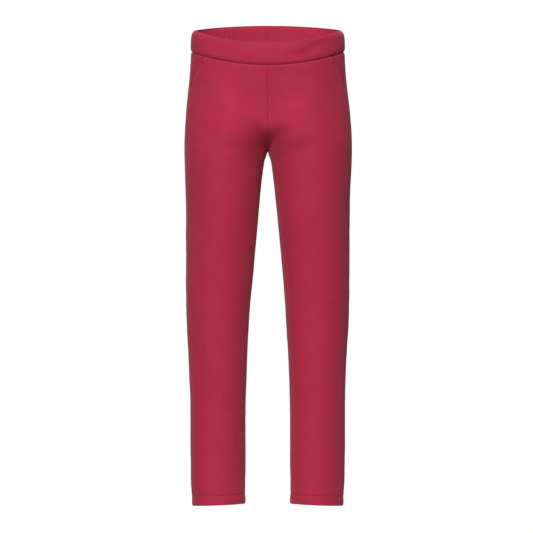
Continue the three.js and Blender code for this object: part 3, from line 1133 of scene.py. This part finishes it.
@dataclass
class PocketMaker(ClothMaker):
    """Lays out one side pocket: the facing that shows and the two bags behind it."""

    facing_under: float = 0.028
    facing_end: float = 0.152
    facing_depth: float = 4.5
    facing_ramps: tuple[Ramp, ...] = (Ramp(-1.2, -0.012, 0.0), Ramp(-2.9, 0.0005, 0.016))
    facing_drop: Ramp = Ramp(1.4, 0.112, 0.130)
    bag_top: float = 0.0012
    bag_end: float = 0.257
    bag_start: float = 0.40
    corner: float = 0.036
    facing_thickness: float = 0.0010
    bag_thickness: float = 0.0008
    bag_rows: int = 52
    bag_columns: int = 42
    bag_tuck: float = 0.002
    bag_inboard: Pair = (-0.014, -0.008)
    bag_rim: Pair = (0.001, 0.010)
    bag_wave: float = 0.25

    def layer(
        self, name: str, side: Side, angles: Array, z: Array, depths: Array, thickness: float
    ) -> Piece:
        """Makes one layer of the pocket from its angles, heights and depths."""
        heights = np.repeat(z[:, None], angles.shape[1], axis=1)
        lift = self.relief.body(self.cut, side, angles, heights)
        points = self.cut.point(angles, heights, lift - depths)
        return self.sheet(name, side, points, thickness)

    def facing(self, name: str, side: Side) -> Piece:
        """Makes the facing, which shows between the pocket edge and the side seam."""
        cut = self.cut
        rolled, rolled_depths = self.waist_rows()
        z = np.concatenate([rolled, np.linspace(rolled[-1], -self.facing_end, 30)[1:]])
        row_depth = np.zeros(len(z))
        row_depth[: len(rolled)] = rolled_depths
        edge, seam = cut.pocket_edge(z)[:, None], (cut.side_seam(z) - cut.half_gap(z))[:, None]
        reach = cut.reach(edge[:, 0], z)[:, None]
        distances, depths = SEAM_ROLL.settled(np.ones(len(z)))
        outer = seam - distances / reach
        start = edge - self.facing_under / reach
        share = np.linspace(0.0, 1.0, 44)[None, :-1]
        angles = np.concatenate([start + (outer[:, :1] - start) * share, outer], axis=1)
        beyond = (angles - edge) * reach
        depth = sum((ramp.at(beyond) for ramp in self.facing_ramps), self.facing_depth)
        depth = depth + self.facing_drop.at(-z)[:, None]
        turned = np.concatenate([np.zeros((len(z), share.shape[1])), depths], axis=1)
        total = depth * MM + turned + row_depth[:, None]
        return self.layer(name, side, angles, z, total, self.facing_thickness)

    def bag(self, name: str, side: Side, plan: BagPlan) -> Piece:
        """Makes one pocket bag with rounded lower corners, sewn to its fellow all round.

        Args:
            name: Name of the piece.
            side: Which pocket.
            plan: Which layer of the bag.

        Returns:
            The finished layer.
        """
        cut = self.cut
        top = cut.waist_seam - self.bag_top
        share = np.linspace(0.0, 1.0, self.bag_rows)
        z = top + (-self.bag_end - top) * (share + 0.10 * np.sin(math.pi * share) * share)
        edge, start = cut.pocket_edge(z), cut.front_start(z)
        reach = cut.reach(edge - 0.25, z)
        up = np.clip(z + self.bag_end, 0.0, self.corner)
        curve = self.corner - np.sqrt(self.corner**2 - (self.corner - up) ** 2)
        first = start + (edge - start) * self.bag_start + curve / reach
        hidden = plan.hidden - (plan.hidden - self.bag_tuck) * smoothstep(-z, *plan.released)
        last = edge - (hidden + curve) / reach
        across = np.linspace(0.0, 1.0, self.bag_columns)[None, :]
        angles = first[:, None] + (last - first)[:, None] * across
        heights = np.repeat(z[:, None], self.bag_columns, axis=1)
        outboard = (angles - edge[:, None]) * reach[:, None]
        depth = plan.depth + plan.inboard * smoothstep(outboard, *self.bag_inboard)
        rim = np.minimum((angles - first[:, None]) * reach[:, None], heights + self.bag_end)
        sewn = 1.0 - smoothstep(rim, *self.bag_rim)
        soft = lattice_noise(angles * 5.0, heights / 0.035, plan.seed)
        depth = depth + sewn * plan.sewn + self.bag_wave * soft * (1.0 - sewn)
        return self.layer(name, side, angles, z, depth * MM, self.bag_thickness)

    def edge_path(self, side: Side, inset: float, sink: float) -> tuple[Array, Array]:
        """A line along the slanted pocket edge.

        Args:
            side: Which pocket.
            inset: Distance from the edge.
            sink: Depth of the line below the smooth face.

        Returns:
            The points of the line and the directions out of the cloth.
        """
        cut = self.cut
        z = np.linspace(cut.waist_seam - 0.0022, -cut.pocket_drop + 0.003, 400)
        edge = cut.pocket_edge(z)
        return self.surface_line(side, edge - inset / cut.reach(edge, z), z, sink)


# ---- thread


@dataclass
class StitchMaker:
    """Sews: one stitch is modelled, then laid again and again along a line on the cloth."""

    length: float = 0.0021
    width: float = 0.00066
    height: float = 0.00050
    pitch: float = 0.0027
    shape: tuple[Array, list[list[int]]] | None = field(default=None)

    def stitch(self) -> tuple[Array, list[list[int]]]:
        """One stitch of unit size: long in X, out of the cloth in Z, with ends that dip.

        Returns:
            Its vertices and faces.
        """
        if self.shape is not None:
            return self.shape
        clear_selection()
        bpy.ops.mesh.primitive_uv_sphere_add(
            segments=6, ring_count=5, radius=0.5, rotation=(0.0, math.pi / 2, 0.0)
        )
        stitch = bpy.context.object
        bpy.ops.object.transform_apply(location=False, rotation=True, scale=False)
        for side in (-1.0, 1.0):
            self.select_where(stitch, lambda v, side=side: v.co.x * side > 0.30)
            bpy.ops.transform.translate(value=(0.0, 0.0, -0.32))
            bpy.ops.object.mode_set(mode="OBJECT")
        self.select_where(stitch, lambda v: abs(v.co.x) < 0.30)
        bpy.ops.transform.resize(value=(1.25, 1.06, 1.0))
        bpy.ops.object.mode_set(mode="OBJECT")
        mesh = stitch.data
        faces = sorted(list(polygon.vertices) for polygon in mesh.polygons)
        self.shape = (np.array([v.co[:] for v in mesh.vertices]), faces)
        bpy.data.objects.remove(stitch)
        bpy.data.meshes.remove(mesh)
        return self.shape

    def select_where(
        self, piece: Piece, wanted: Callable[[bpy.types.MeshVertex], bool]
    ) -> None:
        """Selects the vertices that are wanted, and goes into edit mode."""
        make_active(piece)
        for item in (*piece.data.polygons, *piece.data.edges):
            item.select = False
        for vertex in piece.data.vertices:
            vertex.select = wanted(vertex)
        bpy.ops.object.mode_set(mode="EDIT")
        bpy.context.tool_settings.mesh_select_mode = (True, False, False)

    def lay(
        self, name: str, places: Array, along: Array, out: Array, sizes: Array
    ) -> Piece:
        """Makes one piece of many stitches.

        Args:
            name: Name of the piece.
            places: Middle of each stitch.
            along: Direction of each stitch.
            out: Direction out of the cloth at each stitch.
            sizes: Length, width and height of each stitch.

        Returns:
            The finished piece.
        """
        vertices, faces = self.stitch()
        along = along / np.linalg.norm(along, axis=1, keepdims=True)
        out = out - along * np.sum(out * along, axis=1, keepdims=True)
        out = out / np.linalg.norm(out, axis=1, keepdims=True)
        across = np.cross(out, along)
        scaled = vertices[None] * sizes[:, None, :]
        world = places[:, None, :] + sum(
            scaled[..., i : i + 1] * axis[:, None, :]
            for i, axis in enumerate((along, across, out))
        )
        count = len(vertices)
        index = [[v + i * count for v in face] for i in range(len(places)) for face in faces]
        return new_piece(name, world, index)

    def seam(self, name: str, line: Array, out: Array) -> Piece:
        """Sews along a line.

        Args:
            name: Name of the piece.
            line: Points of the line.
            out: Directions out of the cloth at those points.

        Returns:
            The finished row of stitches.
        """
        steps = np.linalg.norm(np.diff(line, axis=0), axis=1)
        run = np.r_[0.0, np.cumsum(steps)]
        count = max(2, round(run[-1] / self.pitch))
        at = (np.arange(count) + 0.5) * run[-1] / count

        def along_line(values: Array, where: Array) -> Array:
            """Values at the given lengths along the line."""
            return np.stack([np.interp(where, run, values[:, i]) for i in range(3)], axis=1)

        ahead = along_line(line, at + 0.5 * MM) - along_line(line, at - 0.5 * MM)
        sizes = np.tile([self.length, self.width, self.height], (count, 1))
        sizes[:, 0] *= 1.0 + 0.05 * np.sin(np.arange(count) * 2.3)
        return self.lay(name, along_line(line, at), ahead, along_line(out, at), sizes)

    def bartack(
        self, name: str, place: Array, along: Array, out: Array, length: float, width: float
    ) -> Piece:
        """Makes one bar of dense stitches across a pocket's end.

        Args:
            name: Name of the piece.
            place: Middle of the bar.
            along: Direction of the bar.
            out: Direction out of the cloth.
            length: Length of the bar.
            width: Width of the bar.

        Returns:
            The finished bartack.
        """
        along = along / np.linalg.norm(along)
        out = out / np.linalg.norm(out)
        across = np.cross(out, along)
        places, directions, sizes = [], [], []
        for shift in (-0.30, -0.10, 0.10, 0.30):
            places.append(place + across * shift * width + out * 0.02 * MM)
            directions.append(along)
            sizes.append((length * 0.98, 0.50 * MM, 0.46 * MM))
        threads = round(length / (0.47 * MM))
        for i in range(threads):
            shift = (i + 0.5) / threads - 0.5
            tilt = 0.13 if i % 2 else -0.13
            places.append(place + along * shift * length * 0.97 + out * 0.24 * MM)
            directions.append(across + along * tilt)
            sizes.append((width * (1.04 + 0.05 * math.sin(i * 2.1)), 0.56 * MM, 0.50 * MM))
        outs = np.repeat(out[None, :], len(places), axis=0)
        return self.lay(name, np.array(places), np.array(directions), outs, np.array(sizes))


# ---- the garment


@dataclass(frozen=True)
class CutSize:
    """Flat size of one cloth piece before it was sewn, and how it is held."""

    width: float
    length: float
    area: float
    held: Hold


FRONT_CUT = CutSize(0.262, 1.060, 0.2270, Hold.HUNG)
BACK_CUT = CutSize(0.340, 1.060, 0.3300, Hold.HUNG)
BAND_CUT = CutSize(0.940, 0.062, 0.0583, Hold.GATHERED)
FACING_CUT = CutSize(0.905, 0.054, 0.0488, Hold.GATHERED)
ELASTIC_CUT = CutSize(0.930, 0.039, 0.0363, Hold.STRETCHED)


@dataclass
class WarmUpTrousers:
    """The whole garment: band, panels, pockets and all the stitching."""

    cut: TrouserCut = field(default_factory=TrouserCut)
    relief: ClothRelief = field(default_factory=ClothRelief)
    sewing: StitchMaker = field(default_factory=StitchMaker)
    pocket_line: float = 0.004
    pocket_sink: float = 0.00044
    hem_line: float = 0.0220
    hem_sink: float = 0.00050
    band_line: float = 0.0032
    band_sink: float = 0.00038
    bar_length: float = 0.009
    bar_width: float = 0.0022
    bar_slope: float = 0.62
    bar_drops: Pair = (0.0640, 0.1235)

    def dress(
        self,
        piece: Piece,
        finish: bpy.types.Material,
        node: str,
    ) -> None:
        """Gives a piece its finish and its place in the frame.

        Args:
            piece: The finished piece.
            finish: The material.
            node: The solid that the piece stands for.
        """
        piece.data.materials.clear()
        piece.data.materials.append(finish)
        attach(piece, "root")
        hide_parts(node)
        LOG.info("%s: %d faces", piece.name, len(piece.data.polygons))

    def hem_path(self, side: Side) -> tuple[Array, Array]:
        """The stitch line round one hem, and the directions out of the cloth."""
        angle = np.linspace(0.001, 2 * math.pi + 0.001, 900)
        z = np.full_like(angle, self.cut.hem + self.hem_line)
        return ClothMaker(self.cut, self.relief).surface_line(side, angle, z, self.hem_sink)

    def make_waistband(self, knit: bpy.types.Material, thread: bpy.types.Material) -> None:
        """Makes the waistband, its elastic, its facing and its row of stitches."""
        maker = WaistbandMaker(self.cut)
        elastic = ELASTIC_KNIT.material()
        for name, plan, slot, finish, size in (
            ("waistband", OUTER_BAND, "cloth", knit, BAND_CUT),
            ("waistband_facing", BAND_FACING, "cloth", knit, FACING_CUT),
            ("waist_elastic", BAND_ELASTIC, "elastic", elastic, ELASTIC_CUT),
        ):
            self.dress(maker.ring(f"{name}_cloth", plan), finish, name)
        line = maker.edge_path(self.band_line, self.band_sink)
        row = self.sewing.seam("waistband_stitches", *line)
        self.dress(row, thread, "waistband_stitching")

    def make_panels(self, side: Side, knit: bpy.types.Material) -> None:
        """Makes the front and back panels of one side."""
        maker = PanelMaker(self.cut, self.relief)
        for word, size in (("front", FRONT_CUT), ("back", BACK_CUT)):
            node = f"{word}_panel_{side.label}"
            piece = maker.build(f"{node}_cloth", side, word == "front")
            self.dress(piece, knit, node)

    def make_pocket(
        self,
        side: Side,
        knit: bpy.types.Material,
        lining: bpy.types.Material,
        thread: bpy.types.Material,
        pale_thread_with_painted_highlight: bpy.types.Material,
    ) -> None:
        """Makes one pocket's facing, bags, edge stitches and bartacks."""
        maker = PocketMaker(self.cut, self.relief)
        label = side.label
        node = f"pocket_facing_{label}"
        self.dress(maker.facing(f"{node}_cloth", side), knit, node)
        for word, plan in (("front", FRONT_BAG), ("back", BACK_BAG)):
            node = f"pocket_bag_{word}_{label}"
            bag = maker.bag(f"{node}_cloth", side, plan)
            self.dress(bag, lining, node)
        line = maker.edge_path(side, self.pocket_line, self.pocket_sink)
        # The pocket's edge stitches take the pale thread, whose colour carries a painted
        # highlight.
        row = self.sewing.seam(f"pocket_stitches_{label}", *line)
        self.dress(row, pale_thread_with_painted_highlight, f"pocket_stitching_{label}")
        for word, drop in zip(("upper", "lower"), self.bar_drops, strict=True):
            z = np.array([-drop, -drop - 0.1 * self.bar_length * self.bar_slope])
            edge = self.cut.pocket_edge(z[:1])
            shift = np.array([0.45, 0.55]) * self.bar_length / self.cut.reach(edge, z[:1])
            line, out = maker.surface_line(side, edge - shift, z, 0.0)
            bar = self.sewing.bartack(
                f"pocket_bar_{word}_{label}",
                line[0], line[1] - line[0], out[0], self.bar_length, self.bar_width,
            )
            self.dress(bar, thread, f"pocket_bartack_{word}_{label}")

    def make(self) -> None:
        """Makes every piece of the garment."""
        knit, lining = BODY_KNIT.material(), LINING_KNIT.material()
        thread, pale_thread_with_painted_highlight = SEAM_THREAD.material(), PALE_THREAD_WITH_PAINTED_HIGHLIGHT.material()
        # The waistband stitches take the same pale thread, with its painted highlight.
        self.make_waistband(knit, pale_thread_with_painted_highlight)
        for side in Side:
            self.make_panels(side, knit)
            self.make_pocket(side, knit, lining, thread, pale_thread_with_painted_highlight)
            row = self.sewing.seam(f"hem_stitches_{side.label}", *self.hem_path(side))
            self.dress(row, thread, f"hem_stitching_{side.label}")


# ---- the studio


@dataclass(frozen=True)
class SoftLight:
    """One large soft light, aimed at the middle of the garment."""

    name: str
    place: Triple
    size: float
    power: float


@dataclass
class Studio:
    """White studio: pale floor, soft lights and a long lens straight in front."""

    target: Triple = (-0.0030, 0.0, -0.5358)
    frame_height: float = 1.210
    lens: float = 500.0
    sensor: float = 36.0
    elevation: float = 2.5
    floor_drop: float = 1.47
    floor_radius: float = 1.5
    floor_colour: Triple = (0.66, 0.66, 0.66)
    sky: float = 0.32
    ground: float = 0.02
    horizon: Pair = (-0.6, 0.9)
    lights: tuple[SoftLight, ...] = (
        SoftLight("key_light", (-1.0, -5.5, 2.5), 1.6, 272.0),
        SoftLight("fill_light", (2.8, -2.6, -0.4), 2.2, 0.6),
        SoftLight("inside_light", (0.0, -1.2, 2.4), 0.8, 18.0),
        SoftLight("back_light", (1.2, 3.8, 1.2), 2.0, 42.0),
    )

    def hang(self, data: bpy.types.ID) -> Piece:
        """Adds a camera or a lamp to the scene under its own name."""
        item = bpy.data.objects.new(data.name, data)
        bpy.context.scene.collection.objects.link(item)
        return item

    def camera(self) -> None:
        """Places the camera in front of the garment."""
        data = bpy.data.cameras.new("camera")
        data.lens, data.sensor_width = self.lens, self.sensor
        data.clip_start, data.clip_end = 0.5, 200.0
        camera = self.hang(data)
        distance = self.frame_height * self.lens / self.sensor
        tilt = math.radians(self.elevation)
        target = Vector(self.target)
        camera.location = target + Vector((0.0, -math.cos(tilt), math.sin(tilt))) * distance
        camera.rotation_euler = (math.pi / 2 - tilt, 0.0, 0.0)
        bpy.context.scene.camera = camera

    def light(self, plan: SoftLight) -> None:
        """Hangs one soft light."""
        data = bpy.data.lights.new(plan.name, "AREA")
        data.shape, data.size, data.energy = "DISK", plan.size, plan.power
        lamp = self.hang(data)
        lamp.location = plan.place
        aim = Vector(self.target) - Vector(plan.place)
        lamp.rotation_euler = aim.to_track_quat("-Z", "Y").to_euler()

    def floor(self) -> None:
        """Lays the pale floor well below the hems."""
        clear_selection()
        bpy.ops.mesh.primitive_circle_add(
            vertices=96, radius=self.floor_radius, fill_type="NGON",
            location=(0.0, 0.0, -self.floor_drop),
        )
        floor = bpy.context.object
        floor.name = "studio_floor"
        material, graph, shader = new_finish("studio_white")
        graph.feed(shader, Base_Color=(*self.floor_colour, 1.0), Roughness=0.9)
        floor.data.materials.append(material)

    def surroundings(self) -> None:
        """White all round, softer as light than it looks behind the garment."""
        world = bpy.data.worlds.new("studio")
        world.use_nodes = True
        graph = ShaderGraph(world.node_tree)
        place = graph.add("TexCoord").outputs["Generated"]
        height = graph.add(
            "MapRange",
            Value=graph.add("SeparateXYZ", Vector=place).outputs["Z"],
            From_Min=self.horizon[0],
            From_Max=self.horizon[1],
            To_Min=self.ground,
            To_Max=self.sky,
        )
        height.interpolation_type = "SMOOTHSTEP"
        seen = graph.add("LightPath").outputs["Is Camera Ray"]
        strength = graph.add("MapRange", Value=seen, To_Min=height.outputs["Result"], To_Max=1.0)
        background = world.node_tree.nodes["Background"]
        graph.feed(background, Color=(1.0, 1.0, 1.0, 1.0), Strength=strength.outputs["Result"])
        bpy.context.scene.world = world
        bpy.context.scene.view_settings.view_transform = "Standard"

    def set_up(self) -> None:
        """Sets up the camera, the lights, the floor and the white surroundings."""
        self.camera()
        for plan in self.lights:
            self.light(plan)
        self.floor()
        self.surroundings()


def main() -> None:
    """Makes the garment and the studio."""
    logging.basicConfig(level=logging.INFO, format="%(name)s: %(message)s")
    Studio().set_up()
    WarmUpTrousers().make()


if __name__ == "__main__":
    main()
